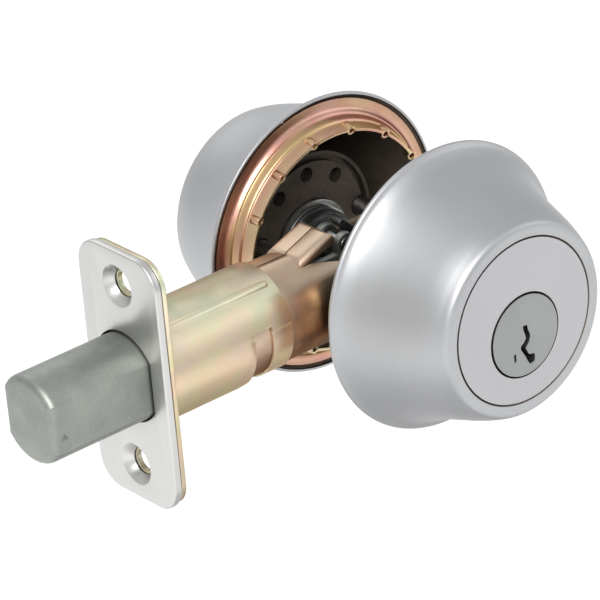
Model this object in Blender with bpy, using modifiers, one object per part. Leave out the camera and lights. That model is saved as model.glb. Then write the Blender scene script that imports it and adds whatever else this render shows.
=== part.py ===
"""Tubular deadbolt lock, keyed from both sides, with its bolt thrown.

The origin is where the cylinder axis crosses the bolt axis, at the middle of the door's cross bore.
The bolt points along -X to the door's edge, the exterior cylinder faces -Y, and +Z is up.
"""

import math

import bmesh
import bpy
from mathutils import Matrix

# Driving sizes, in metres.
GAP = 0.0003                  # clearance between pieces that seat on each other
DOOR = 0.0375                 # door thickness between the two housing rims
BACKSET = 0.070               # door edge to the cylinder axis
THROW = 0.0254                # travel of the bolt
SHEET = 0.0006                # wall of the latch's rolled tubes
FRONT_TUBE_RADIUS = 0.0120
CASE_RADIUS = FRONT_TUBE_RADIUS - SHEET - GAP

PLATE_LENGTH = 0.05715
PLATE_MARGIN = 0.0007         # of the plates, each side of the front tube
PLATE_WIDTH = 2 * (FRONT_TUBE_RADIUS + PLATE_MARGIN)
PLATE_CORNER = 0.00635
PLATE_THICK = 0.0018
BACKING_THICK = 0.0012
PLATE_SCREW_SPACING = 0.04128
PLATE_SCREW_HOLE = 0.0024     # radius
COUNTERSINK = 0.0047          # radius at the face

BOLT_RADIUS = 0.0097
BOLT_WIDTH = 0.0160           # across the flat sides
BOLT_PLAY = 0.0005            # around the bolt in the faceplate
BOLT_LENGTH = 0.0385
BOLT_CHAMFER = 0.0016
CORE_RADIUS = 0.0028          # hardened pin inside the bolt
CORE_LENGTH = 0.029

FRONT_TUBE_END = 0.035        # its rear end, from the cylinder axis
WINDOW_START = 0.0404         # backset window, from the cylinder axis
WINDOW_WIDTH = 0.0049
WINDOW_TOP = 17.0             # degrees above the tube's exterior side
WINDOW_SWEEP = 95.0

CASE_FRONT = 0.052            # rear case, from the cylinder axis to its front end
CASE_REAR = 0.0112            # and to its rear end
HOOD_START = 0.0272           # where the hood begins to rise out of the case
HOOD_OPENING = 0.0172         # where its roof ends, over the cam
HOOD_RISE = 0.0038            # roof's highest point above the case
HOOD_HEIGHT = CASE_RADIUS + HOOD_RISE
HOOD_SIDE_RISE = 0.0007       # of its side walls behind the roof
HOOD_SIDE_HEIGHT = CASE_RADIUS + HOOD_SIDE_RISE
HOOD_ROOT = 0.0060            # level inside the case that the hood is cut from
HOOD_WIDTH = 0.0108
HOOD_EDGE = 0.0014            # rounding of the hood's shoulders

HUB_DROP = 0.0032             # cam and plug axis, below the bolt axis
HUB_RADIUS = 0.0055
CAM_THICK = 0.0032
CAM_ARM_WIDTH = 0.0088
CAM_REACH = 0.0208            # cam axis to the fork's tips
BLADE_WIDTH = 0.0060
BLADE_THICK = 0.0024
BLADE_ENTRY = 0.00425         # how far the blade reaches past each rim, into the plugs
BLADE_LENGTH = DOOR + 2 * BLADE_ENTRY
DRIVE_PIN_RADIUS = 0.0015
FORK_CLEARANCE = 0.0012       # around the drive pin, each side
CAM_CLEARANCE = 0.0006        # each side of the cam, between the tail link's bars
LINK_BAR = 0.0016             # thickness of each bar
LINK_LOW = 0.0034
LINK_HIGH = 0.0080
LINK_PIN_RADIUS = 0.0010
LINK_TONGUE = 0.0076          # length that enters the bolt

SPACER_RADIUS = 0.0015
SPACER_PLACE = (0.0086, -0.0062)
SPRING_THICK = 0.00035
SPRING_WIDTH = 0.0050

RIM_RADIUS = 0.03175
HOUSING_HEIGHT = 0.0252       # rim to face
HOUSING_WALL = 0.0009
DISC_RADIUS = 0.0182          # round face of the cylinder body
DISC_THICK = 0.0025
BODY_RADIUS = 0.0171
BODY_REAR = 0.0050            # rear end of the cylinder body, out from the rim
BORE_RADIUS = 0.0270          # door's cross bore
RING_FLANGE = 0.0301
RING_SHEET = 0.0007
RING_CLEARANCE = 0.00205      # between the ring's lip and the case
RING_DEPTH = DOOR / 2 - CASE_RADIUS - RING_CLEARANCE
RING_LIP = 0.0243             # inner radius of its lip

PLUG_RADIUS = 0.0091
PLUG_PROUD = 0.0002
PLUG_REAR = 0.0032
PLUG_NECK = 0.0074
KEYWAY_WIDTH = 0.0022
KEYWAY_HEIGHT = 0.0086
KEYWAY_DROP = 0.0020          # its middle, below the plug's axis
TOOL_SLOT_WIDTH = 0.0009
TOOL_SLOT_HEIGHT = 0.0022
TOOL_SLOT_PLACE = (-0.0036, -0.0047)
PIN_COUNT = 5
PIN_PITCH = 0.0033
PIN_RADIUS = 0.0011
PIN_LENGTH = 0.0036
PIN_FOOT = 0.0018             # lower end of a key pin, from the plug's axis
PIN_SETBACK = 0.0042          # first pin, behind the lock's face
SIDEBAR_SPAN = (0.0222, 0.0068)         # its two ends, out from the rim
SIDEBAR_DEEP = 0.0017
SIDEBAR_TALL = 0.0016
CLIP_THICK = 0.0007
DRIVER_RADIUS = 0.0080
DRIVER_THICK = 0.0022
DRIVER_PLAY = 0.00037         # around the blade's corners
DRIVER_BORE = math.hypot(BLADE_WIDTH, BLADE_THICK) / 2 + DRIVER_PLAY
TOOTH_ANGLE = 60              # degrees from the blade to the driver's tooth
TOOTH_THICK = 0.0012
DRIVER_EDGE = 0.0004          # bevel round its inner face

POST_SPREAD = 0.0140          # mounting screws, each side of the cylinder axis
POST_RADIUS = 0.0032
POST_CLEARANCE = 0.00115      # between the posts' ends and the case
POST_REACH = DOOR / 2 - CASE_RADIUS - POST_CLEARANCE
SCREW_RADIUS = 0.0020
SCREW_HEAD = 0.0035
DRIVE_SLOT = (0.0018, 0.0003, 0.0012)   # half length, half width and depth of the cross recess
SCREW_OVERLAP = 0.0060        # thread engaged in the post

ROUND = 32                    # segments of large round pieces
SMALL = 20                    # segments of small ones
TINY = 12

# Directions that outlines and turned pieces are laid along.
ALONG_BOLT = Matrix.Rotation(math.radians(-90), 4, "Y")       # local +Z towards the bolt's tip
OUTWARD = Matrix.Rotation(math.radians(90), 4, "X")           # local +Z out of the exterior side
ACROSS_EDGE = Matrix(((0, 0, 1, 0), (1, 0, 0, 0), (0, 1, 0, 0), (0, 0, 0, 1)))
FLAT_EPSILON = 1e-6

FINISHES = {
    "satin_chrome": ((0.56, 0.57, 0.59), 0.32, 1.0),
    "satin_face": ((0.50, 0.51, 0.51), 0.36, 1.0),
    "sintered_steel": ((0.30, 0.31, 0.28), 0.48, 1.0),
    "yellow_zinc": ((0.56, 0.48, 0.34), 0.34, 1.0),
    "bronze_zinc": ((0.32, 0.22, 0.16), 0.40, 1.0),
    "die_cast": ((0.30, 0.30, 0.30), 0.50, 1.0),
    "spring_steel": ((0.45, 0.45, 0.46), 0.30, 1.0),
    "brass": ((0.62, 0.48, 0.24), 0.35, 1.0),
}


def clear_scene():
    for thing in list(bpy.data.objects):
        bpy.data.objects.remove(thing)


def new_collection(name):
    group = bpy.data.collections.new(name)
    bpy.context.scene.collection.children.link(group)
    return group


def finish_material(name):
    made = bpy.data.materials.get(name)
    if made:
        return made
    colour, roughness, metallic = FINISHES[name]
    made = bpy.data.materials.new(name)
    made.use_nodes = True
    shader = made.node_tree.nodes["Principled BSDF"]
    shader.inputs["Base Color"].default_value = (*colour, 1.0)
    shader.inputs["Roughness"].default_value = roughness
    shader.inputs["Metallic"].default_value = metallic
    return made


def place(thing, group, parent=None, spot=(0, 0, 0), turn=None):
    """Links an object and puts it at its spot in its parent's frame, turned."""
    group.objects.link(thing)
    thing.parent = parent
    thing.matrix_local = Matrix.Translation(spot) @ (turn or Matrix.Identity(4))
    return thing


def as_part(thing, finish, parent=None, spot=(0, 0, 0), turn=None, sharp=35):
    place(thing, PARTS, parent, spot, turn)
    thing.data.materials.append(finish_material(finish))
    thing.data.shade_smooth()
    thing.data.set_sharp_from_angle(angle=math.radians(sharp))
    return thing


def as_cutter(thing, parent=None, spot=(0, 0, 0), turn=None):
    place(thing, CUTTERS, parent, spot, turn)
    thing.hide_render = True
    thing.display_type = "WIRE"
    return thing


def mark(name, spot, parent=None, turn=None):
    return place(bpy.data.objects.new(name, None), PARTS, parent, spot, turn)


def boolean(thing, tool, operation):
    step = thing.modifiers.new(tool.name, "BOOLEAN")
    step.operation = operation
    step.object = tool
    step.solver = "EXACT"


def cut(thing, *tools):
    for tool in tools:
        boolean(thing, tool, "DIFFERENCE")


def add(thing, *tools):
    for tool in tools:
        boolean(thing, tool, "UNION")


def from_bmesh(name, shape):
    mesh = bpy.data.meshes.new(name)
    shape.to_mesh(mesh)
    shape.free()
    return bpy.data.objects.new(name, mesh)


def box(name, low, high):
    shape = bmesh.new()
    bmesh.ops.create_cube(shape, size=1.0)
    size = [b - a for a, b in zip(low, high)]
    middle = [(a + b) / 2 for a, b in zip(low, high)]
    bmesh.ops.scale(shape, vec=size, verts=shape.verts)
    bmesh.ops.translate(shape, vec=middle, verts=shape.verts)
    return from_bmesh(name, shape)


def rod(name, radius, start, end, segments=SMALL, end_radius=None):
    """A round bar or cone along local Z from start to end."""
    shape = bmesh.new()
    bmesh.ops.create_cone(shape, cap_ends=True, segments=segments, radius1=radius,
                          radius2=radius if end_radius is None else end_radius, depth=end - start)
    bmesh.ops.translate(shape, vec=(0, 0, (start + end) / 2), verts=shape.verts)
    return from_bmesh(name, shape)


def turned(name, profile, steps=ROUND, closed=True):
    """A profile of (radius, height) points turned about local Z; it runs down its outer side."""
    mesh = bpy.data.meshes.new(name)
    edges = [(i, i + 1) for i in range(len(profile) - 1)]
    if closed:
        edges.append((len(profile) - 1, 0))
    mesh.from_pydata([(r, 0, z) for r, z in profile], edges, [])
    thing = bpy.data.objects.new(name, mesh)
    lathe = thing.modifiers.new("lathe", "SCREW")
    lathe.steps = steps
    lathe.render_steps = steps
    lathe.use_merge_vertices = True
    lathe.merge_threshold = 0.00001
    return thing


def arc(centre, radius, start, end, count):
    """Points along an arc, with angles in degrees."""
    angles = [math.radians(start + (end - start) * i / (count - 1)) for i in range(count)]
    return [(centre[0] + radius * math.cos(a), centre[1] + radius * math.sin(a)) for a in angles]


def circle(radius, count, centre=(0, 0)):
    return arc(centre, radius, 0, 360, count + 1)[:-1]


def rounded_rectangle(width, height, corner, count=7):
    x, y = width / 2 - corner, height / 2 - corner
    middles = [((x, y), 0), ((-x, y), 90), ((-x, -y), 180), ((x, -y), 270)]
    return [p for middle, start in middles for p in arc(middle, corner, start, start + 90, count)]


def flatted_circle(radius, width, count=9):
    """A circle with its two sides cut flat, width apart."""
    flat = math.degrees(math.acos(width / 2 / radius))
    return arc((0, 0), radius, flat, 180 - flat, count) + arc((0, 0), radius, 180 + flat, 360 - flat, count)


def outline(name, loops, thickness):
    """A flat outline with its holes, as a welded mesh centred on its plane, local XY."""
    curve = bpy.data.curves.new(name, "CURVE")
    curve.dimensions = "2D"
    curve.fill_mode = "BOTH"
    curve.extrude = thickness / 2
    for points in loops:
        spline = curve.splines.new("POLY")
        spline.points.add(len(points) - 1)
        for point, (x, y) in zip(spline.points, points):
            point.co = (x, y, 0, 1)
        spline.use_cyclic_u = True
    return mesh_of_curve(name, curve)


def mesh_of_curve(name, curve):
    guide = bpy.data.objects.new(name + "_guide", curve)
    bpy.context.scene.collection.objects.link(guide)
    graph = bpy.context.evaluated_depsgraph_get()
    mesh = bpy.data.meshes.new_from_object(guide.evaluated_get(graph))
    bpy.data.objects.remove(guide)
    shape = bmesh.new()
    shape.from_mesh(mesh)
    bmesh.ops.remove_doubles(shape, verts=shape.verts, dist=FLAT_EPSILON)
    bmesh.ops.recalc_face_normals(shape, faces=shape.faces)
    shape.to_mesh(mesh)
    shape.free()
    mesh.name = name
    return bpy.data.objects.new(name, mesh)


def bevel_edges(thing, width, segments, chosen):
    """Rounds the edges of a mesh for which chosen(edge) is true."""
    shape = bmesh.new()
    shape.from_mesh(thing.data)
    bmesh.ops.dissolve_limit(shape, angle_limit=0.01, verts=shape.verts, edges=shape.edges)
    edges = [e for e in shape.edges if chosen(e)]
    bmesh.ops.bevel(shape, geom=edges, offset=width, segments=segments, profile=0.5, affect="EDGES")
    shape.to_mesh(thing.data)
    shape.free()


# Latch: plates, tubes and case.

def make_faceplate():
    middle = -BACKSET + PLATE_THICK / 2
    screw_holes = [circle(PLATE_SCREW_HOLE, TINY * 2, (0, side * PLATE_SCREW_SPACING / 2)) for side in (1, -1)]
    opening = flatted_circle(BOLT_RADIUS + BOLT_PLAY, BOLT_WIDTH + 2 * BOLT_PLAY)
    loops = [rounded_rectangle(PLATE_WIDTH, PLATE_LENGTH, PLATE_CORNER), opening, *screw_holes]
    plate = outline("faceplate", loops, PLATE_THICK)
    as_part(plate, "satin_chrome", LATCH, (middle, 0, 0), ACROSS_EDGE)
    sink_depth = COUNTERSINK - PLATE_SCREW_HOLE
    for side in (1, -1):
        sink = rod("countersink_cutter", COUNTERSINK + GAP, -GAP, sink_depth, TINY * 2, PLATE_SCREW_HOLE)
        as_cutter(sink, LATCH, (-BACKSET, 0, side * PLATE_SCREW_SPACING / 2), ALONG_BOLT.inverted())
        cut(plate, sink)


def make_backing_plate():
    middle = -BACKSET + PLATE_THICK + GAP + BACKING_THICK / 2
    screw_holes = [circle(PLATE_SCREW_HOLE, TINY, (0, side * PLATE_SCREW_SPACING / 2)) for side in (1, -1)]
    loops = [rounded_rectangle(PLATE_WIDTH, PLATE_LENGTH, PLATE_CORNER, 5),
             circle(FRONT_TUBE_RADIUS + GAP, ROUND), *screw_holes]
    plate = outline("backing_plate", loops, BACKING_THICK)
    as_part(plate, "yellow_zinc", LATCH, (middle, 0, 0), ACROSS_EDGE)


def make_front_tube():
    front = BACKSET - PLATE_THICK - GAP
    inner = FRONT_TUBE_RADIUS - SHEET
    profile = [(FRONT_TUBE_RADIUS, front), (FRONT_TUBE_RADIUS, FRONT_TUBE_END), (inner, FRONT_TUBE_END),
               (inner, front)]
    tube = as_part(turned("front_tube", profile), "yellow_zinc", LATCH, (0, 0, 0), ALONG_BOLT)
    start = 180 - WINDOW_TOP
    reach = FRONT_TUBE_RADIUS + 2 * SHEET
    hole = arc((0, 0), reach, start, start + WINDOW_SWEEP, TINY)
    hole += arc((0, 0), inner - SHEET, start + WINDOW_SWEEP, start, TINY)
    window = outline("window_cutter", [hole], WINDOW_WIDTH)
    spot = (-WINDOW_START - WINDOW_WIDTH / 2, 0, 0)
    cut(tube, as_cutter(window, LATCH, spot, ACROSS_EDGE))


def hood_outline(lift):
    """Side view of the hood; lift moves its roof and its front end outwards."""
    front, opening = -HOOD_START, -HOOD_OPENING
    return [(front - lift, HOOD_ROOT), (front - lift, CASE_RADIUS - GAP + lift), (opening, HOOD_HEIGHT + lift),
            (opening, HOOD_SIDE_HEIGHT), (CASE_REAR, HOOD_SIDE_HEIGHT), (CASE_REAR, HOOD_ROOT)]


def hood_shell():
    hood = outline("hood_tool", [hood_outline(0)], HOOD_WIDTH)
    bevel_edges(hood, HOOD_EDGE, 3, is_shoulder)
    return as_cutter(hood, LATCH, (0, 0, 0), OUTWARD)


def is_shoulder(edge):
    """True for the hood's two roof edges, the only ones that slope in its own flat frame."""
    a, b = (v.co for v in edge.verts)
    return abs(a.x - b.x) > FLAT_EPSILON and abs(a.y - b.y) > FLAT_EPSILON


def hood_hollow():
    roof = hood_outline(-SHEET)
    loop = [*roof[:3], (-HOOD_OPENING + GAP, 0.03), (CASE_REAR + GAP, 0.03), (CASE_REAR + GAP, 0.006)]
    loop[2] = (-HOOD_OPENING + GAP, HOOD_HEIGHT - SHEET)
    hollow = outline("hood_hollow_tool", [loop], HOOD_WIDTH - 2 * SHEET)
    return as_cutter(hollow, LATCH, (0, 0, 0), OUTWARD)


def make_case_half(name, side):
    """One half of the rear case; side is -1 for the exterior half and 1 for the interior."""
    inner = CASE_RADIUS - SHEET
    half = as_part(rod(name, CASE_RADIUS, -CASE_REAR, CASE_FRONT, ROUND), "bronze_zinc", LATCH, (0, 0, 0), ALONG_BOLT)
    far = 0.04
    bore = rod("case_bore_tool", inner, -CASE_REAR - far, CASE_FRONT + far, ROUND)
    seam = box("case_seam_tool", (-far * 2, min(-side * far, side * GAP / 2), -far),
               (far * 2, max(-side * far, side * GAP / 2), far))
    hub = rod("case_hub_tool", HUB_RADIUS + GAP, -far, far, ROUND)
    add(half, hood_shell())
    cut(half, as_cutter(bore, LATCH, (0, 0, 0), ALONG_BOLT), hood_hollow(), as_cutter(seam, LATCH),
        as_cutter(hub, LATCH, (0, 0, -HUB_DROP), OUTWARD))
    screw = rod("case_screw_tool", SCREW_RADIUS + 2 * GAP, -far, far, SMALL)
    cut(half, as_cutter(screw, LATCH, (-POST_SPREAD, 0, 0), OUTWARD))
    for x in (SPACER_PLACE[0], -SPACER_PLACE[0]):
        hole = rod("case_spacer_tool", SPACER_RADIUS + GAP, -far, far, TINY)
        cut(half, as_cutter(hole, LATCH, (x, 0, SPACER_PLACE[1]), OUTWARD))


def make_case_spacers():
    half_length = math.sqrt(CASE_RADIUS ** 2 - SPACER_PLACE[1] ** 2) + SHEET
    for name, x in (("case_spacer_front", -SPACER_PLACE[0]), ("case_spacer_rear", SPACER_PLACE[0])):
        spacer = rod(name, SPACER_RADIUS, -half_length, half_length, TINY)
        as_part(spacer, "spring_steel", LATCH, (x, 0, SPACER_PLACE[1]), OUTWARD)


def make_detent_spring():
    """A bowed leaf under the hub, held down at its ends by the two spacers."""
    x, z = SPACER_PLACE
    end_top = z - SPACER_RADIUS - GAP
    low_top = -HUB_DROP - HUB_RADIUS - GAP
    sag = end_top - low_top
    radius = (x ** 2 + sag ** 2) / (2 * sag)
    swing = math.degrees(math.asin(x / radius)) * 1.15
    middle = (0, low_top + radius)
    leaf = arc(middle, radius, 270 - swing, 270 + swing, TINY)
    leaf += arc(middle, radius + SPRING_THICK, 270 + swing, 270 - swing, TINY)
    as_part(outline("detent_spring", [leaf], SPRING_WIDTH), "spring_steel", LATCH, (0, 0, 0), OUTWARD)


# Bolt: everything that slides.

def bolt_tip():
    return -BACKSET - THROW


def make_bolt():
    length = BOLT_LENGTH
    bolt = outline("bolt", [flatted_circle(BOLT_RADIUS, BOLT_WIDTH, 11)], length)
    bevel_edges(bolt, BOLT_CHAMFER, 2, lambda e: all(v.co.z < -length / 2 + FLAT_EPSILON for v in e.verts))
    as_part(bolt, "sintered_steel", BOLT, (bolt_tip() + length / 2, 0, 0), ACROSS_EDGE)
    rear = bolt_tip() + length
    core_bore = rod("core_bore_tool", CORE_RADIUS + GAP, -rear - 0.01, -rear + CORE_LENGTH + GAP, SMALL)
    slot = box("tongue_tool", (rear - LINK_TONGUE - GAP, -link_half() - GAP, LINK_LOW - GAP),
               (rear + 0.01, link_half() + GAP, LINK_HIGH + GAP))
    pin_hole = rod("link_pin_tool", LINK_PIN_RADIUS + GAP, -0.02, 0.02, TINY)
    cut(bolt, as_cutter(core_bore, BOLT, (0, 0, -CORE_RADIUS), ALONG_BOLT), as_cutter(slot, BOLT),
        as_cutter(pin_hole, BOLT, link_pin_spot(), OUTWARD))
    core = rod("hardened_core", CORE_RADIUS, -rear + 0.0005, -rear + CORE_LENGTH, SMALL)
    as_part(core, "spring_steel", BOLT, (0, 0, -CORE_RADIUS), ALONG_BOLT)


def link_half():
    """Half the tail link's width: half the cam, its clearance and one bar."""
    return CAM_THICK / 2 + CAM_CLEARANCE + LINK_BAR


def link_pin_spot():
    return (bolt_tip() + BOLT_LENGTH - LINK_TONGUE / 2, 0, (LINK_LOW + LINK_HIGH) / 2)


def drive_pin_spot():
    """The drive pin stands as far in front of the cam axis, and above it, as half the throw."""
    return (-THROW / 2, 0, THROW / 2 - HUB_DROP)


def make_tail_link():
    rear_of_bolt = bolt_tip() + BOLT_LENGTH
    pin_x, _, pin_z = drive_pin_spot()
    wall = DRIVE_PIN_RADIUS + 0.0011
    front = rear_of_bolt - LINK_TONGUE
    side_view = [(front, LINK_LOW), (pin_x + wall, LINK_LOW), (pin_x + wall, pin_z), *arc((pin_x, pin_z), wall,
                 20, 160, 7), (pin_x - wall, pin_z), (pin_x - wall, LINK_HIGH), (front, LINK_HIGH)]
    link = outline("tail_link", [side_view], 2 * link_half())
    as_part(link, "sintered_steel", BOLT, (0, 0, 0), OUTWARD)
    channel_end = -THROW - 0.002
    half = CAM_THICK / 2 + CAM_CLEARANCE
    channel = box("channel_tool", (channel_end, -half, -0.01), (0.01, half, 0.03))
    pin_hole = rod("link_hole_tool", LINK_PIN_RADIUS + GAP, -0.02, 0.02, TINY)
    drive_hole = rod("drive_hole_tool", DRIVE_PIN_RADIUS + GAP, -0.02, 0.02, SMALL)
    cut(link, as_cutter(channel, BOLT), as_cutter(pin_hole, BOLT, link_pin_spot(), OUTWARD),
        as_cutter(drive_hole, BOLT, drive_pin_spot(), OUTWARD))


def make_link_pins():
    short = BOLT_WIDTH / 2 - GAP
    as_part(rod("link_pin", LINK_PIN_RADIUS, -short, short, TINY), "spring_steel", BOLT, link_pin_spot(), OUTWARD)
    half = link_half()
    as_part(rod("drive_pin", DRIVE_PIN_RADIUS, -half, half, SMALL), "spring_steel", BOLT, drive_pin_spot(), OUTWARD)


# Cam: the hub with its fork, and the blade through it.

def make_cam():
    """The fork straddles the drive pin; it leans half a turn's quarter towards the bolt when thrown."""
    slot_half = DRIVE_PIN_RADIUS + FORK_CLEARANCE
    slot_floor = THROW / 2 - slot_half + GAP
    half = CAM_ARM_WIDTH / 2
    tine = (half - slot_half) / 2
    fork = [(-half, 0), (half, 0), *arc((half - tine, CAM_REACH - tine), tine, 0, 180, 5),
            *arc((0, slot_floor), slot_half, 0, -180, 9), *arc((-half + tine, CAM_REACH - tine), tine, 0, 180, 5)]
    lean = Matrix.Rotation(math.radians(45), 4, "Z")
    cam = outline("cam", [fork], CAM_THICK)
    as_part(cam, "die_cast", CAM, (0, 0, 0), OUTWARD @ lean)
    hub = rod("hub_tool", HUB_RADIUS, -CASE_RADIUS - GAP, CASE_RADIUS + GAP, ROUND)
    add(cam, as_cutter(hub, CAM, (0, 0, 0), OUTWARD))
    half_x, half_z = BLADE_THICK / 2 + GAP, BLADE_WIDTH / 2 + GAP
    cut(cam, as_cutter(box("blade_tool", (-half_x, -0.03, -half_z), (half_x, 0.03, half_z)), CAM))


def make_torque_blade():
    """A flat bar; at each end only its upper half goes on, past the tooth of the tail driver."""
    half_x, half_z, half_y = BLADE_THICK / 2, BLADE_WIDTH / 2, BLADE_LENGTH / 2
    blade = as_part(box("torque_blade", (-half_x, -half_y, -half_z), (half_x, half_y, half_z)), "spring_steel", CAM)
    step = DOOR / 2 - GAP
    for side in (-1, 1):
        low, high = sorted((side * step, side * (half_y + GAP)))
        cut(blade, as_cutter(box("blade_end_tool", (-0.01, low, -0.01), (0.01, high, -half_x)), CAM))


# Cylinders. Each side is modelled in its own frame, in which the lock's face looks along -Y.

def out(distance):
    """The local Y of a place that lies a distance out from the rim plane."""
    return -DOOR / 2 - distance


def housing_profile():
    """Flared wall: a rounded rim, a hollow-ground flank and a rounded nose, then the same inside."""
    top = HOUSING_HEIGHT
    rim = RIM_RADIUS
    outer = [(DISC_RADIUS + 2 * GAP, top), (rim - 0.0112, top), (rim - 0.0103, top - 0.0004),
             (rim - 0.0097, top - 0.0013), (rim - 0.0090, top - 0.0030), (rim - 0.0081, top - 0.0056),
             (rim - 0.0070, top - 0.0096), (rim - 0.0058, top - 0.0136), (rim - 0.0044, top - 0.0176),
             (rim - 0.0026, top - 0.0214), (rim - 0.0011, top - 0.0237), (rim - 0.0003, top - 0.0245),
             (rim, top - 0.0249), (rim - 0.0004, 0)]
    recess = RING_FLANGE + GAP
    inside = [(recess, 0), (recess, 0.0013)]
    for radius, height in reversed(outer[3:11]):
        if height > 0.003:
            inside.append((radius - HOUSING_WALL, height - HOUSING_WALL / 3))
    inside += [(rim - 0.0115, top - HOUSING_WALL), (DISC_RADIUS + 2 * GAP, top - HOUSING_WALL)]
    return outer + inside


def make_housing(name, side):
    as_part(turned(name + "_housing", housing_profile()), "satin_chrome", side, (0, out(0), 0), OUTWARD)


def make_ring(name, side):
    """Plated ring in the rim's recess; its collar and rolled lip go into the door's bore."""
    half = RING_SHEET / 2
    depth = RING_DEPTH
    flange = 0.0004 + half
    mouth = BORE_RADIUS - GAP - half
    lip = RING_LIP + half
    mid = [(RING_FLANGE, flange), (mouth + 0.0012, flange), (mouth + 0.0003, flange - 0.0006),
           (mouth, -0.0010), (mouth - 0.0005, -0.0016), ((mouth + lip) / 2, -0.0030),
           (lip + 0.0004, -depth + 0.0020), (lip, -depth + 0.0008), (lip - 0.0001, -depth)]
    ring = as_part(turned(name + "_ring", mid, closed=False), "yellow_zinc", side, (0, out(0), 0), OUTWARD)
    wall_maker = ring.modifiers.new("sheet", "SOLIDIFY")
    wall_maker.thickness = RING_SHEET
    wall_maker.offset = 0


def make_body(name, side, has_posts):
    """Cylinder body: the round face and the barrel, bored for the plug."""
    profile = [(0, HOUSING_HEIGHT), (DISC_RADIUS, HOUSING_HEIGHT), (DISC_RADIUS, HOUSING_HEIGHT - DISC_THICK),
               (BODY_RADIUS, HOUSING_HEIGHT - DISC_THICK), (BODY_RADIUS, BODY_REAR), (0, BODY_REAR)]
    body = turned(name + "_cylinder_body", profile, closed=False)
    as_part(body, "satin_face", side, (0, out(0), 0), OUTWARD)
    bore = rod("plug_bore_tool", PLUG_RADIUS + GAP, 0, HOUSING_HEIGHT * 2, ROUND)
    cut(body, as_cutter(bore, side, (0, out(0), -HUB_DROP), OUTWARD))
    for x in (POST_SPREAD, -POST_SPREAD):
        if has_posts:
            hole = rod("post_hole_tool", POST_RADIUS + GAP, 0, HOUSING_HEIGHT * 0.6, SMALL)
        else:
            hole = rod("screw_hole_tool", SCREW_RADIUS + GAP, 0, HOUSING_HEIGHT * 2, SMALL)
            sink = rod("screw_sink_tool", SCREW_RADIUS + GAP, HOUSING_HEIGHT - SCREW_HEAD + SCREW_RADIUS,
                       HOUSING_HEIGHT + GAP, SMALL, SCREW_HEAD + 2 * GAP)
            cut(body, as_cutter(sink, side, (x, out(0), 0), OUTWARD))
        cut(body, as_cutter(hole, side, (x, out(0), 0), OUTWARD))


def make_posts(side):
    for name, x in (("threaded_post_left", -POST_SPREAD), ("threaded_post_right", POST_SPREAD)):
        top = HOUSING_HEIGHT * 0.6 - GAP
        inner = SCREW_RADIUS + GAP
        profile = [(POST_RADIUS, top), (POST_RADIUS, -POST_REACH), (inner, -POST_REACH), (inner, top)]
        as_part(turned(name, profile, SMALL), "yellow_zinc", side, (x, out(0), 0), OUTWARD)


def make_mounting_screws(side):
    """Long countersunk screws from the interior face into the exterior posts."""
    end = -(DOOR - POST_REACH + SCREW_OVERLAP)
    for name, x in (("mounting_screw_left", POST_SPREAD), ("mounting_screw_right", -POST_SPREAD)):
        top = HOUSING_HEIGHT
        neck = top - (SCREW_HEAD - SCREW_RADIUS)
        profile = [(0, top), (SCREW_HEAD, top), (SCREW_RADIUS, neck), (SCREW_RADIUS, end), (0, end)]
        screw = turned(name, profile, SMALL, closed=False)
        as_part(screw, "satin_face", side, (x, out(0), 0), OUTWARD)
        for turn in (0, 90):
            long, wide, deep = DRIVE_SLOT
            arm = box("drive_tool", (-long, -wide, -deep), (long, wide, deep))
            spin = OUTWARD @ Matrix.Rotation(math.radians(turn), 4, "Z")
            cut(screw, as_cutter(arm, side, (x, out(top), 0), spin))


def keyway_loop():
    """The warded keyway: a tall slot with two steps on its sides."""
    w, h = KEYWAY_WIDTH / 2, KEYWAY_HEIGHT / 2
    step = KEYWAY_WIDTH * 0.28
    return [(w - step, h), (w - step, h * 0.35), (w + step, h * 0.15), (w + step, -h * 0.25), (w, -h * 0.4),
            (w, -h), (-w, -h), (-w, -h * 0.1), (-w + step * 1.4, h * 0.1), (-w + step * 1.4, h * 0.45),
            (-w, h * 0.6), (-w, h)]


def pin_places():
    """How far out from the rim each key pin stands."""
    first = HOUSING_HEIGHT - PIN_SETBACK
    return [first - PIN_PITCH * i for i in range(PIN_COUNT)]


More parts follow.
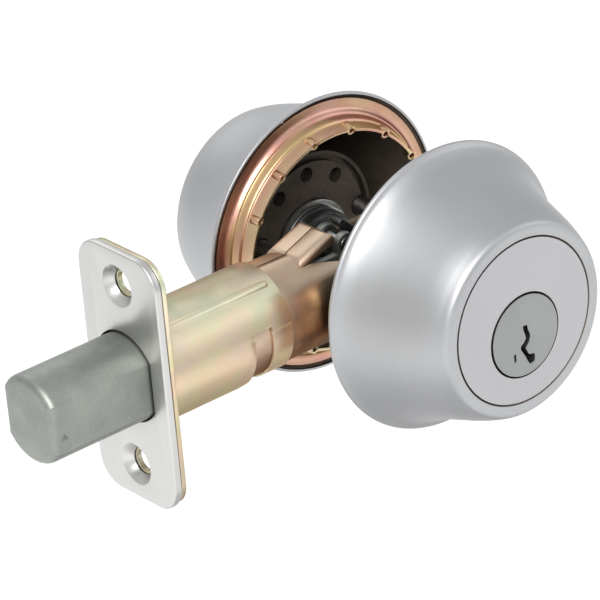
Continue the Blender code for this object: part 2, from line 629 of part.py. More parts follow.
def make_plug(name, side, axis):
    """The plug turns about the marker named axis, which sits on its own axis in the rim plane."""
    front = HOUSING_HEIGHT + PLUG_PROUD
    neck_top = BODY_REAR + GAP
    tail_bore = BLADE_WIDTH / 2 + 2 * GAP
    profile = [(0, front), (PLUG_RADIUS, front), (PLUG_RADIUS, neck_top), (PLUG_NECK, neck_top),
               (PLUG_NECK, PLUG_REAR), (0, PLUG_REAR)]
    plug = turned(name + "_plug", profile, closed=False)
    as_part(plug, "satin_face", axis, (0, 0, 0), OUTWARD)
    keyway = outline("keyway_tool", [keyway_loop()], HOUSING_HEIGHT)
    middle = front - HOUSING_HEIGHT / 2 + PLUG_REAR + 0.003
    cut(plug, as_cutter(keyway, axis, (0, -middle, -KEYWAY_DROP), OUTWARD))
    slot = box("tool_slot_tool", (-TOOL_SLOT_WIDTH / 2, -front - GAP, -TOOL_SLOT_HEIGHT / 2),
               (TOOL_SLOT_WIDTH / 2, -front + 0.004, TOOL_SLOT_HEIGHT / 2))
    cut(plug, as_cutter(slot, axis, (TOOL_SLOT_PLACE[0], 0, TOOL_SLOT_PLACE[1])))
    tail = rod("tail_bore_tool", tail_bore, 0, DRIVER_THICK + PLUG_REAR + 0.0015, SMALL)
    cut(plug, as_cutter(tail, axis, (0, 0, 0), OUTWARD))
    chamber = PIN_RADIUS + GAP
    for distance in pin_places():
        hole = rod("pin_chamber_tool", chamber, 0.0014, PLUG_RADIUS * 1.2, TINY)
        cut(plug, as_cutter(hole, axis, (0, -distance, 0)))
    deep, half = SIDEBAR_DEEP + 2 * GAP, SIDEBAR_TALL / 2 + GAP
    groove = box("sidebar_groove_tool", (PLUG_RADIUS - deep - GAP / 3, -SIDEBAR_SPAN[0] - GAP, -half),
                 (PLUG_RADIUS * 1.2, -SIDEBAR_SPAN[1] + GAP, half))
    cut(plug, as_cutter(groove, axis))


def make_pins(name, axis):
    for number, distance in enumerate(pin_places(), 1):
        low = PIN_FOOT
        profile = [(0, low + PIN_LENGTH), (PIN_RADIUS, low + PIN_LENGTH), (PIN_RADIUS, low + 0.0007),
                   (PIN_RADIUS * 0.45, low), (0, low)]
        pin = turned(f"{name}_key_pin_{number}", profile, TINY, closed=False)
        as_part(pin, "brass", axis, (0, -distance, 0))


def make_pin_springs(name, axis):
    """A short coil over each pin, in the same chamber."""
    wire, turns, per_turn = 0.00014, 2.5, 8
    low = PIN_FOOT + PIN_LENGTH + GAP
    high = PLUG_RADIUS - GAP
    count = int(turns * per_turn)
    coil_radius = PIN_RADIUS - wire
    for number, distance in enumerate(pin_places(), 1):
        curve = bpy.data.curves.new("coil", "CURVE")
        curve.dimensions = "3D"
        curve.bevel_depth = wire
        curve.bevel_resolution = 0
        curve.use_fill_caps = True
        spline = curve.splines.new("POLY")
        spline.points.add(count)
        for i, point in enumerate(spline.points):
            a = 2 * math.pi * i / per_turn
            z = low + wire + (high - low - 2 * wire) * i / count
            point.co = (coil_radius * math.cos(a), coil_radius * math.sin(a), z, 1)
        as_part(mesh_of_curve(f"{name}_pin_spring_{number}", curve), "spring_steel", axis, (0, -distance, 0))


def make_sidebar(name, axis):
    high = PLUG_RADIUS - GAP
    rear, front = SIDEBAR_SPAN
    bar = box(name + "_sidebar", (high - SIDEBAR_DEEP, -rear, -SIDEBAR_TALL / 2),
              (high, -front, SIDEBAR_TALL / 2))
    as_part(bar, "brass", axis)


def make_clip(name, axis):
    """Snap ring round the plug's neck, behind the body."""
    inner = PLUG_NECK + GAP
    outer = PLUG_RADIUS + 0.0004
    half_gap = 35
    loop = arc((0, 0), outer, -90 + half_gap, 270 - half_gap, 25)
    loop += arc((0, 0), inner, 270 - half_gap, -90 + half_gap, 25)
    clip = outline(name + "_plug_clip", [loop], CLIP_THICK)
    middle = BODY_REAR - GAP - CLIP_THICK / 2
    as_part(clip, "spring_steel", axis, (0, -middle, 0), OUTWARD)


def make_driver(name, axis, bolt_side):
    """Disc on the plug's rear end, with a tooth that pushes the blade's upper half from the bolt's side."""
    top = PLUG_REAR - GAP
    low = top - DRIVER_THICK
    profile = [(DRIVER_RADIUS, top), (DRIVER_RADIUS, low + DRIVER_EDGE), (DRIVER_RADIUS - DRIVER_EDGE, low),
               (DRIVER_BORE, low), (DRIVER_BORE, top)]
    disc = as_part(turned(name + "_tail_driver", profile), "die_cast", axis, (0, 0, 0), OUTWARD)
    inner = BLADE_THICK / 2 * math.sqrt(2) + 1.4 * GAP
    tooth = box("tooth_tool", (inner, -TOOTH_THICK / 2, low),
                (DRIVER_BORE + TOOTH_THICK, TOOTH_THICK / 2, top))
    lean = Matrix.Rotation(math.radians(90 - bolt_side * TOOTH_ANGLE), 4, "Z")
    add(disc, as_cutter(tooth, axis, (0, 0, 0), OUTWARD @ lean))


def make_cylinder(name, side, has_posts, bolt_side):
    """bolt_side is the sign of the side's own X towards the bolt."""
    axis = mark(name + "_plug_axis", (0, out(0), -HUB_DROP), side)
    make_housing(name, side)
    make_ring(name, side)
    make_body(name, side, has_posts)
    make_plug(name, side, axis)
    make_pins(name, axis)
    make_pin_springs(name, axis)
    make_sidebar(name, axis)
    make_clip(name, axis)
    make_driver(name, axis, bolt_side)


clear_scene()
PARTS = new_collection("deadbolt_lock")
CUTTERS = new_collection("cutters")
LATCH = mark("latch", (0, 0, 0))
BOLT = mark("bolt_axis", (0, 0, 0), LATCH)
CAM = mark("cam_axis", (0, 0, -HUB_DROP), LATCH)
EXTERIOR = mark("exterior_side", (0, 0, 0))
INTERIOR = mark("interior_side", (0, 0, 0), None, Matrix.Rotation(math.pi, 4, "Z"))

make_faceplate()
make_backing_plate()
make_front_tube()
make_case_half("rear_case_exterior", -1)
make_case_half("rear_case_interior", 1)
make_case_spacers()
make_detent_spring()
make_bolt()
make_tail_link()
make_link_pins()
make_cam()
make_torque_blade()
make_cylinder("exterior", EXTERIOR, has_posts=True, bolt_side=-1)
make_cylinder("interior", INTERIOR, has_posts=False, bolt_side=1)
make_posts(EXTERIOR)
make_mounting_screws(INTERIOR)
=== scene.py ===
import math
import bpy
from mathutils import Matrix, Vector


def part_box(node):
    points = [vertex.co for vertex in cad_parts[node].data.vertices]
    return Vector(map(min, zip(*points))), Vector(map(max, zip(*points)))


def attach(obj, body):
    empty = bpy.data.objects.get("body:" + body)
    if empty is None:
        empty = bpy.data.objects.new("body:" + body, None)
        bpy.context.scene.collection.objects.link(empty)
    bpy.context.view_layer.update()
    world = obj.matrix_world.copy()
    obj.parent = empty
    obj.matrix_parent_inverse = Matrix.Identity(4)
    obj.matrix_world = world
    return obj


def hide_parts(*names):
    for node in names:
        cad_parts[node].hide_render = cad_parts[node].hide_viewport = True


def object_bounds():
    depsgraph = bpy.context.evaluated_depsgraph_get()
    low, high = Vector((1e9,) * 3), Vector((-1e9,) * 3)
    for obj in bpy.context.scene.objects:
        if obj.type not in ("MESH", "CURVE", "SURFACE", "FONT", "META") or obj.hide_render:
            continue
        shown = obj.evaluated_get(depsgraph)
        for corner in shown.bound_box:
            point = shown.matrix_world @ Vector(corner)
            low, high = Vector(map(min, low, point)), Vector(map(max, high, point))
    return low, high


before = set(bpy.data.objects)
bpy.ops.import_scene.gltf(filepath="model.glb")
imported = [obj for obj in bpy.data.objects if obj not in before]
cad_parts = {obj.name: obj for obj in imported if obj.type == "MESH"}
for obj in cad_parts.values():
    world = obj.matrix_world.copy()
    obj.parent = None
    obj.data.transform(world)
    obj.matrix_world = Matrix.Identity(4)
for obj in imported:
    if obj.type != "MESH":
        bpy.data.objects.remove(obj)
cadBox = [list(corner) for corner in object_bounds()]

mm = 0.001
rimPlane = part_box("exterior_housing")[1].y           # the door's outer face
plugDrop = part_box("exterior_plug")[0].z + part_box("exterior_plug")[1].z
plugCentre = Vector((0, 0, plugDrop / 2))            # plugs and cam turn below the bolt's axis
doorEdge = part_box("faceplate")[0].x
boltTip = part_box("bolt")[0].x
halfRound = Matrix.Rotation(math.pi, 4, "Z")
bench = {"joinLine": 0.001, "weld": 0.002, "flatWithin": 0.5}     # mm, mm and degrees


# hand tools
def dropSelection():
    if bpy.context.mode != "OBJECT":
        bpy.ops.object.mode_set(mode="OBJECT")
    bpy.ops.object.select_all(action="DESELECT")


def takeUp(piece):
    dropSelection()
    piece.select_set(True)
    bpy.context.view_layer.objects.active = piece
    return piece


def useModifier(piece, kind, **settings):
    takeUp(piece)
    tool = piece.modifiers.new(kind.lower(), kind)
    for setting, value in settings.items():
        setattr(tool, setting, value)
    bpy.ops.object.modifier_apply(modifier=tool.name)
    return piece


def softenEdges(piece, width, segments=3, angle=35):
    return useModifier(piece, "BEVEL", width=width * mm, segments=segments, limit_method="ANGLE",
                       angle_limit=math.radians(angle), use_clamp_overlap=True)


def carve(piece, *cutters, operation="DIFFERENCE"):
    for cutter in cutters:
        useModifier(piece, "BOOLEAN", object=cutter, operation=operation, solver="EXACT")
        bpy.data.objects.remove(cutter)
    return piece


def weldOn(piece, *extras):
    return carve(piece, *extras, operation="UNION")


def drawLine(name, spots, closed=False):
    # one point, extruded from place to place; leaves the piece in edit mode with all selected
    dropSelection()
    bpy.ops.mesh.primitive_plane_add(size=mm)
    piece = bpy.context.object
    piece.name = name
    bpy.ops.object.mode_set(mode="EDIT")
    bpy.ops.mesh.select_all(action="SELECT")
    bpy.ops.mesh.merge(type="CENTER")
    bpy.ops.transform.translate(value=spots[0])
    for here, there in zip(spots, [*spots[1:], spots[0]] if closed else spots[1:]):
        bpy.ops.mesh.extrude_vertices_move(TRANSFORM_OT_translate={"value": Vector(there) - Vector(here)})
    bpy.ops.mesh.select_all(action="SELECT")
    if closed:
        bpy.ops.mesh.remove_doubles(threshold=bench["joinLine"] * mm)
    return piece


def closeUp(piece):
    bpy.ops.mesh.select_all(action="SELECT")
    bpy.ops.mesh.remove_doubles(threshold=bench["weld"] * mm)
    bpy.ops.mesh.normals_make_consistent(inside=False)
    bpy.ops.object.mode_set(mode="OBJECT")
    return piece


def turnOnLathe(name, outline, axis="Y", centre=(0, 0, 0), steps=128, closed=True):
    # outline is (radius, place along the axis) in mm; along Y it is measured out from the rim
    centre = Vector(centre)
    if axis == "Y":
        spots = [centre + Vector((radius * mm, rimPlane - along * mm, 0)) for radius, along in outline]
        line = (0, 1, 0)
    else:
        spots = [centre + Vector((along * mm, 0, radius * mm)) for radius, along in outline]
        line = (1, 0, 0)
    piece = drawLine(name, spots, closed)
    bpy.ops.mesh.spin(steps=steps, angle=math.tau, center=centre, axis=line)
    return closeUp(piece)


def extrudeOutline(name, corners, push):
    # a flat outline in metres, filled and pushed out along push
    piece = drawLine(name, corners, closed=True)
    bpy.ops.mesh.edge_face_add()
    bpy.ops.mesh.extrude_region_move(TRANSFORM_OT_translate={"value": Vector(push)})
    return closeUp(piece)


def clearPicks():
    bpy.ops.object.mode_set(mode="EDIT")
    bpy.ops.mesh.select_all(action="DESELECT")
    bpy.ops.object.mode_set(mode="OBJECT")


def roundPicked(width, segments):
    # rounds the edges that are picked
    bpy.ops.object.mode_set(mode="EDIT")
    bpy.ops.mesh.select_mode(type="EDGE")
    bpy.ops.mesh.bevel(offset=width, segments=segments, affect="EDGES")
    bpy.ops.mesh.select_mode(type="VERT")
    bpy.ops.object.mode_set(mode="OBJECT")


def addRod(name, radius, start, end, steps, tipRadius=None):
    # a round bar between two places, used for cutters and shanks
    start, end = Vector(start), Vector(end)
    way = end - start
    dropSelection()
    bpy.ops.mesh.primitive_cone_add(vertices=steps, radius1=radius * mm,
                                    radius2=(radius if tipRadius is None else tipRadius) * mm,
                                    depth=way.length, location=(start + end) / 2,
                                    rotation=way.to_track_quat("Z", "Y").to_euler())
    rod = bpy.context.object
    rod.name = name
    bpy.ops.object.transform_apply(location=True, rotation=True, scale=True)
    return rod


def addBlock(name, low, high):
    low, high = Vector(low), Vector(high)
    dropSelection()
    bpy.ops.mesh.primitive_cube_add(size=1, location=(low + high) / 2, scale=high - low)
    block = bpy.context.object
    block.name = name
    bpy.ops.object.transform_apply(location=True, rotation=True, scale=True)
    return block


def arcSpots(radius, startAngle, endAngle, count):
    step = (endAngle - startAngle) / count
    angles = [math.radians(startAngle + step * i) for i in range(count + 1)]
    return [(radius * math.cos(a), radius * math.sin(a)) for a in angles]


def easeThrough(points, steps=5):
    # a smooth curve through a row of points
    eased = []
    ends = [points[0], *points, points[-1]]
    for before, here, there, after in zip(ends, ends[1:], ends[2:], ends[3:]):
        for i in range(steps):
            t = i / steps
            eased.append(tuple(0.5 * (2 * b + (c - a) * t + (2 * a - 5 * b + 4 * c - d) * t ** 2
                                      + (3 * b - a - 3 * c + d) * t ** 3)
                               for a, b, c, d in zip(before, here, there, after)))
    return [*eased, points[-1]]


def copyOf(node, name):
    # a node's own mesh, welded, to be refined
    dropSelection()
    piece = bpy.data.objects.new(name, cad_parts[node].data.copy())
    bpy.context.scene.collection.objects.link(piece)
    piece.data.materials.clear()
    takeUp(piece)
    bpy.ops.object.mode_set(mode="EDIT")
    bpy.ops.mesh.select_all(action="SELECT")
    bpy.ops.mesh.remove_doubles(threshold=bench["weld"] * mm)
    bpy.ops.mesh.dissolve_limited(angle_limit=math.radians(bench["flatWithin"]))
    bpy.ops.object.mode_set(mode="OBJECT")
    return piece


def fit(piece, finish, body, slotName, *nodes, smooth=35):
    # smooth shading, finish, the body it moves with and the nodes it stands for
    takeUp(piece)
    bpy.ops.object.shade_smooth_by_angle(angle=math.radians(smooth))
    if not piece.data.materials:
        piece.data.materials.append(finish)
    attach(piece, body)
    if nodes:
        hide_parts(*nodes)
    return piece


def overToInterior(piece, side):
    # every cylinder piece is made on the exterior side; the interior one is the same, turned half round
    if side == "interior":
        piece.data.transform(halfRound)
    return piece


# finishes
def startFinish(name, roughness=0.3, metallic=1.0):
    finish = bpy.data.materials.new(name)
    finish.use_nodes = True
    tree = finish.node_tree
    shader = tree.nodes["Principled BSDF"]
    shader.inputs["Metallic"].default_value = metallic
    shader.inputs["Roughness"].default_value = roughness
    return finish, tree, shader


def addNode(tree, kind, values=None, **settings):
    node = tree.nodes.new(kind)
    for setting, value in settings.items():
        setattr(node, setting, value)
    for socket, value in (values or {}).items():
        if hasattr(value, "is_linked"):
            tree.links.new(value, node.inputs[socket])
        else:
            node.inputs[socket].default_value = value
    return node


def calc(tree, operation, a, b=0.0, c=0.0):
    # one sum between sockets or numbers
    return addNode(tree, "ShaderNodeMath", {0: a, 1: b, 2: c}, operation=operation).outputs[0]


def distanceOut(tree, x, z):
    # how far a place is from the axis across the door
    squares = calc(tree, "ADD", calc(tree, "MULTIPLY", x, x), calc(tree, "MULTIPLY", z, z))
    return calc(tree, "SQRT", squares)


def shareOut(tree, first, second, share):
    # so much of the first, and the rest of the second
    return calc(tree, "ADD", calc(tree, "MULTIPLY", first, share), calc(tree, "MULTIPLY", second, 1 - share))


def objectPlace(tree, scale=(1, 1, 1), shift=(0, 0, 0)):
    place = addNode(tree, "ShaderNodeTexCoord").outputs["Object"]
    return addNode(tree, "ShaderNodeMapping", {"Vector": place, "Scale": scale, "Location": shift}).outputs[0]


def cloud(tree, place, scale, detail=3.0, roughness=0.5, distortion=0.0):
    make = {"Vector": place, "Scale": scale, "Detail": detail, "Roughness": roughness,
            "Distortion": distortion}
    return addNode(tree, "ShaderNodeTexNoise", make).outputs["Fac"]


def blendStops(tree, factor, stops):
    stops = list(stops)
    ramp = addNode(tree, "ShaderNodeValToRGB", {"Fac": factor})
    band = ramp.color_ramp
    while len(band.elements) < len(stops):
        band.elements.new(0.5)
    for stop, (place, colour) in zip(band.elements, stops):
        stop.position = place
        stop.color = (*colour, 1)
    return ramp.outputs["Color"]


def mixColours(tree, factor, first, second):
    mix = addNode(tree, "ShaderNodeMix", {"Factor": factor}, data_type="RGBA")
    for socket, colour in ((mix.inputs[6], first), (mix.inputs[7], second)):
        if hasattr(colour, "is_linked"):
            tree.links.new(colour, socket)
        else:
            socket.default_value = (*colour, 1)
    return mix.outputs[2]


def span(tree, factor, low, high):
    limits = {"Value": factor, "To Min": low, "To Max": high}
    return addNode(tree, "ShaderNodeMapRange", limits).outputs[0]


satin = {"colours": ((0.42, 0.425, 0.435), (0.48, 0.485, 0.49)), "roughness": (0.42, 0.52), "grain": 9000,
         "sweep": 60.0, "press": 0.10, "patch": 45.0, "grainShare": 0.45, "stops": (0.30, 0.70)}


def roundGrain(tree, fine, centre=0.0):
    # scratches that run round the cylinder's axis, on the flank and on flat faces alike
    place = objectPlace(tree, shift=(0, 0, -centre))
    x, y, z = addNode(tree, "ShaderNodeSeparateXYZ", {"Vector": place}).outputs
    swept = addNode(tree, "ShaderNodeCombineXYZ", {
        "X": calc(tree, "MULTIPLY", distanceOut(tree, x, z), fine), "Y": calc(tree, "MULTIPLY", y, fine),
        "Z": calc(tree, "MULTIPLY", calc(tree, "ADD", x, z), satin["sweep"])}).outputs[0]
    return cloud(tree, swept, 1.0, 4.0, 0.65)


def lineGrain(tree, stretch):
    return cloud(tree, objectPlace(tree, stretch), 1.0, 4.0, 0.65)


def press(tree, shader, height, strength, depth=0.05):
    bump = addNode(tree, "ShaderNodeBump", {"Height": height, "Strength": strength, "Distance": depth * mm})
    tree.links.new(bump.outputs[0], shader.inputs["Normal"])


def satinChrome(name, grain="round", colours=satin["colours"], roughness=satin["roughness"],
                strength=satin["press"], centre=0.0, stretch=(300, 300, 9000)):
    finish, tree, shader = startFinish(name)
    streaks = roundGrain(tree, satin["grain"], centre) if grain == "round" else lineGrain(tree, stretch)
    patches = cloud(tree, objectPlace(tree), satin["patch"], 2.0)
    tone = shareOut(tree, streaks, patches, satin["grainShare"])
    tree.links.new(blendStops(tree, tone, zip(satin["stops"], colours)), shader.inputs["Base Color"])
    tree.links.new(span(tree, tone, *roughness), shader.inputs["Roughness"])
    press(tree, shader, streaks, strength)
    return finish


# each cloud is its scale, detail, roughness and distortion
passivate = {"patch": (70.0, 2.5, 0.55, 0.6), "blot": (95.0, 2.0, 0.5, 0.4), "grain": (2600, 3.0, 0.6),
             "blotShift": (0.03, 0.01, 0.02), "streak": (0.28, 0.25, 0.20), "streakShare": 0.16,
             "press": 0.12, "edge": (0.62, 0.52, 0.42), "ringPatch": (60, 2.5, 0.55, 0.6),
             "ringRound": (26.9, 150)}


def zincFinish(name, stops, bloom, drift, roughness, veil, lean=(0, 0, 0), roundAbout=None,
               patch=passivate["patch"], striped=False):
    # passivated zinc: its colour runs through the bands of a thin film, here and there, with a soft grain;
    # lean and striped move the band with place and with the angle round the axis, which also lays painted
    # light and shade
    finish, tree, shader = startFinish(name)
    place = objectPlace(tree)
    patches = cloud(tree, place, *patch)
    x, y, z = addNode(tree, "ShaderNodeSeparateXYZ", {"Vector": place}).outputs
    phase = calc(tree, "MULTIPLY_ADD", calc(tree, "SUBTRACT", patches, 0.5), drift, 0.5)
    for socket, amount in zip((x, y, z), lean):
        if amount:
            phase = calc(tree, "MULTIPLY_ADD", socket, amount, phase)
    if roundAbout:
        radius, rate = roundAbout
        beyond = calc(tree, "SUBTRACT", distanceOut(tree, x, z), radius * mm)
        phase = calc(tree, "MULTIPLY_ADD", beyond, rate, phase)
    # striped: the band turns with the angle round the latch's axis, which lays a painted highlight stripe on
    # the tube's bead and painted shade low on the rear case
    if striped:
        turn = calc(tree, "DIVIDE", calc(tree, "ARCTAN2", z, calc(tree, "MULTIPLY", y, -1.0)), math.pi)
        phase = calc(tree, "MULTIPLY_ADD", turn, 0.5, phase)
    streaks = cloud(tree, place, *passivate["grain"])
    blots = cloud(tree, objectPlace(tree, shift=passivate["blotShift"]), *passivate["blot"])
    blended = mixColours(tree, span(tree, patches, 0.0, 2 * veil), blendStops(tree, phase, stops),
                         blendStops(tree, blots, bloom))
    worn = mixColours(tree, span(tree, streaks, 0.0, passivate["streakShare"]), blended, passivate["streak"])
    tree.links.new(worn, shader.inputs["Base Color"])
    tree.links.new(span(tree, shareOut(tree, streaks, patches, 0.5), *roughness), shader.inputs["Roughness"])
    shader.inputs["Specular Tint"].default_value = (*passivate["edge"], 1)
    press(tree, shader, streaks, passivate["press"])
    return finish


bare = {"tooth": (4.0, 0.7), "patch": (160.0, 3.0, 0.6), "stops": (0.34, 0.66)}


def plainMetal(name, dark, light, roughness, grain, strength, metallic=1.0):
    # cast, sintered or bare steel: mottled, with a fine tooth
    finish, tree, shader = startFinish(name, metallic=metallic)
    place = objectPlace(tree)
    tooth = cloud(tree, place, grain, *bare["tooth"])
    tone = shareOut(tree, tooth, cloud(tree, place, *bare["patch"]), 0.5)
    tree.links.new(blendStops(tree, tone, zip(bare["stops"], (dark, light))), shader.inputs["Base Color"])
    tree.links.new(span(tree, tone, *roughness), shader.inputs["Roughness"])
    press(tree, shader, tooth, strength)
    return finish


# colours along the film, from its place in the band, and the blooms laid over them; some bands also paint
# light and shade, as said at each
# the cream bands from 0.64 to 0.69 fall on the bead's angle round the tube: partly the film's cream colour,
# partly a painted highlight along the bead
tubeFilmAndBeadHighlight = [(0.00, (0.38, 0.40, 0.32)), (0.22, (0.40, 0.44, 0.30)), (0.36, (0.56, 0.50, 0.31)),
             (0.47, (0.72, 0.56, 0.37)), (0.58, (0.70, 0.62, 0.40)), (0.64, (0.90, 0.85, 0.62)),
             (0.69, (0.88, 0.84, 0.62)), (0.73, (0.48, 0.49, 0.34)), (1.00, (0.42, 0.43, 0.31))]
tubeBloom = [(0.36, (0.48, 0.58, 0.44)), (0.44, (0.66, 0.62, 0.42)), (0.52, (0.76, 0.54, 0.42)),
             (0.60, (0.70, 0.50, 0.50)), (0.68, (0.78, 0.70, 0.40))]
ringBands = [(0.00, (0.62, 0.56, 0.36)), (0.20, (0.70, 0.56, 0.33)), (0.36, (0.66, 0.38, 0.26)),
             (0.50, (0.68, 0.50, 0.22)), (0.64, (0.62, 0.30, 0.24)), (0.82, (0.66, 0.38, 0.32)),
             (1.00, (0.50, 0.30, 0.20))]
ringBloom = [(0.38, (0.66, 0.40, 0.34)), (0.50, (0.60, 0.30, 0.22)), (0.60, (0.70, 0.52, 0.30))]
# the darkest bands fall low on the rear case and towards the housing: painted shade from the housing over the
# case's own reddish dark film
caseFilmAndShadeBands = [(0.00, (0.050, 0.027, 0.021)), (0.34, (0.060, 0.032, 0.023)), (0.46, (0.12, 0.058, 0.038)),
             (0.54, (0.24, 0.125, 0.08)), (0.64, (0.70, 0.56, 0.42)), (1.00, (0.72, 0.60, 0.46))]
caseBloom = [(0.38, (0.10, 0.05, 0.035)), (0.50, (0.32, 0.15, 0.095)), (0.62, (0.28, 0.20, 0.14))]

finishes = {
    "satinFlank": satinChrome("satinFlank"),
    "satinDisc": satinChrome("satinDisc", colours=((0.44, 0.44, 0.45), (0.49, 0.49, 0.50)),
                              roughness=(0.40, 0.52), strength=0.16),
    "satinPlug": satinChrome("satinPlug", colours=((0.27, 0.28, 0.275), (0.34, 0.35, 0.34)),
                             roughness=(0.30, 0.42), centre=plugCentre.z, strength=0.16),
    "satinPlate": satinChrome("satinPlate", "lines", colours=((0.56, 0.555, 0.54), (0.62, 0.615, 0.60)),
                              roughness=(0.30, 0.42), stretch=(400, 5200, 120)),
    # the cylinder body's back, inside the housing: dark cast, darkened further to paint the shade it sits in
    "bodyCastInShade": plainMetal("bodyCastInShade", (0.050, 0.040, 0.031), (0.095, 0.077, 0.061), (0.45, 0.65), 900, 0.5,
                           metallic=0.6),
    # the housing's hollow: bare cast, darkened to paint the shade inside the housing and in the rim's recess
    "hollowShadeCast": plainMetal("hollowShadeCast", (0.10, 0.080, 0.060), (0.17, 0.138, 0.108), (0.45, 0.65), 900, 0.5,
                             metallic=0.6),
    "sintered": plainMetal("sintered", (0.255, 0.27, 0.25), (0.36, 0.375, 0.34), (0.42, 0.56), 2400, 0.22),
    "zincTube": zincFinish("zincTube", tubeFilmAndBeadHighlight, tubeBloom, drift=0.10, roughness=(0.32, 0.44),
                           striped=True, veil=0.35),
    "zincRing": zincFinish("zincRing", ringBands, ringBloom, lean=(4, 0, 4), drift=0.5,
                           roughness=(0.26, 0.38), roundAbout=passivate["ringRound"],
                           patch=passivate["ringPatch"], veil=0.25),
    # striped and lean put the case's dark bands at its bottom and at its end by the housing, as painted shade
    "zincCase": zincFinish("zincCase", caseFilmAndShadeBands, caseBloom, lean=(-3, 0, 0), drift=0.25,
                           roughness=(0.30, 0.44), striped=True, veil=0.3),
    "castGrey": plainMetal("castGrey", (0.055, 0.06, 0.058), (0.12, 0.13, 0.12), (0.36, 0.52), 1300, 0.3),
    "springSteel": plainMetal("springSteel", (0.30, 0.30, 0.30), (0.44, 0.44, 0.43), (0.25, 0.40), 900, 0.12),
    "pinBrass": plainMetal("pinBrass", (0.48, 0.33, 0.13), (0.62, 0.46, 0.21), (0.22, 0.38), 800, 0.12),
}
print("finishes mixed:", len(finishes))


# camera, light and floor
viewpoint = {"azimuth": -38.159, "elevation": 26.982, "roll": 5.043, "distance": 916.784, "slide": -17.724,
             "rise": -8.848, "lens": 258.0, "sensor": 36.0, "nearest": 0.01}


def setCamera():
    azimuth, elevation, roll = (math.radians(viewpoint[k]) for k in ("azimuth", "elevation", "roll"))
    back = Vector((math.sin(azimuth) * math.cos(elevation), -math.cos(azimuth) * math.cos(elevation),
                   math.sin(elevation)))
    right = Vector((math.cos(azimuth), math.sin(azimuth), 0))
    up = back.cross(right)
    across = right * math.cos(roll) - up * math.sin(roll)
    upright = right * math.sin(roll) + up * math.cos(roll)
    spot = (across * viewpoint["slide"] + upright * viewpoint["rise"] + back * viewpoint["distance"]) * mm
    dropSelection()
    bpy.ops.object.camera_add()
    camera = bpy.context.object
    camera.name = "benchCamera"
    turn = Matrix((across, upright, back)).transposed().to_4x4()
    camera.matrix_world = Matrix.Translation(spot) @ turn
    camera.data.lens = viewpoint["lens"]
    camera.data.sensor_width = viewpoint["sensor"]
    camera.data.clip_start = viewpoint["nearest"]
    bpy.context.scene.camera = camera


# a softbox is its place in metres, its power in watts and its size in metres
studio = {"sky": 0.74, "skyTint": (0.985, 0.99, 1.0), "key": (-0.52, -0.50, 0.66, 7.4, 0.55),
          "fill": (0.65, -0.45, 0.40, 1.0, 0.6), "rear": (0.10, 0.70, 0.60, 1.2, 0.6),
          "floorDrop": 0.10, "floorSize": 6, "floorGlow": 0.12, "paper": (0.93, 0.93, 0.93),
          # the shadow entries lay a painted grey shadow on the floor under the lock, fading out to the paper
          "shadowGrey": (0.55, 0.55, 0.55), "shadowCentre": (-0.03, -0.045, 0), "shadowReach": (0.085, 0.135)}


def floorFinish():
    # white paper, with a painted shadow under the lock: a grey patch without glow, which also keeps light
    # from washing out the lock's undersides
    paper, tree, shader = startFinish("floorPaper", 0.9, 0.0)
    place = objectPlace(tree, shift=tuple(-v for v in studio["shadowCentre"]))
    reach = addNode(tree, "ShaderNodeVectorMath", {"Vector": place}, operation="LENGTH").outputs["Value"]
    low, high = studio["shadowReach"]
    edge = addNode(tree, "ShaderNodeMapRange", {"Value": reach, "From Min": low, "From Max": high}).outputs[0]
    colour = blendStops(tree, edge, [(0.0, studio["shadowGrey"]), (1.0, studio["paper"])])
    tree.links.new(colour, shader.inputs["Base Color"])
    # no glow inside the painted shadow, so it stays grey
    glow = calc(tree, "MULTIPLY", edge, studio["floorGlow"])
    tree.links.new(glow, shader.inputs["Emission Strength"])
    shader.inputs["Emission Color"].default_value = (1, 1, 1, 1)
    return paper


def setStudio():
    world = bpy.data.worlds.new("studioSky")
    bpy.context.scene.world = world
    world.use_nodes = True
    sky = world.node_tree.nodes["Background"]
    sky.inputs["Color"].default_value = (*studio["skyTint"], 1)
    sky.inputs["Strength"].default_value = studio["sky"]
    for name in ("key", "fill", "rear"):
        *spot, power, size = studio[name]
        dropSelection()
        bpy.ops.object.light_add(type="AREA", location=spot)
        lamp = bpy.context.object
        lamp.name = name + "Softbox"
        lamp.data.energy = power
        lamp.data.size = size
        lamp.rotation_euler = Vector(spot).to_track_quat("Z", "Y").to_euler()
    dropSelection()
    bpy.ops.mesh.primitive_plane_add(size=studio["floorSize"],
                                     location=(0, 0, cadBox[0][2] - studio["floorDrop"]))
    floor = bpy.context.object
    floor.name = "studioFloor"
    floor.data.materials.append(floorFinish())
    bpy.context.scene.view_settings.view_transform = "Standard"


setCamera()
setStudio()
print("camera and studio set")


# cylinders, made in mm: across, out from the door's face, and up
def outFrom(x, distance, z):
    return Vector((x * mm, rimPlane - distance * mm, z * mm))


def twin(piece, name):
    # the same piece for the interior side, with its own mesh
    other = bpy.data.objects.new(name, piece.data.copy())
    bpy.context.scene.collection.objects.link(other)
    other.data.transform(halfRound)
    return other


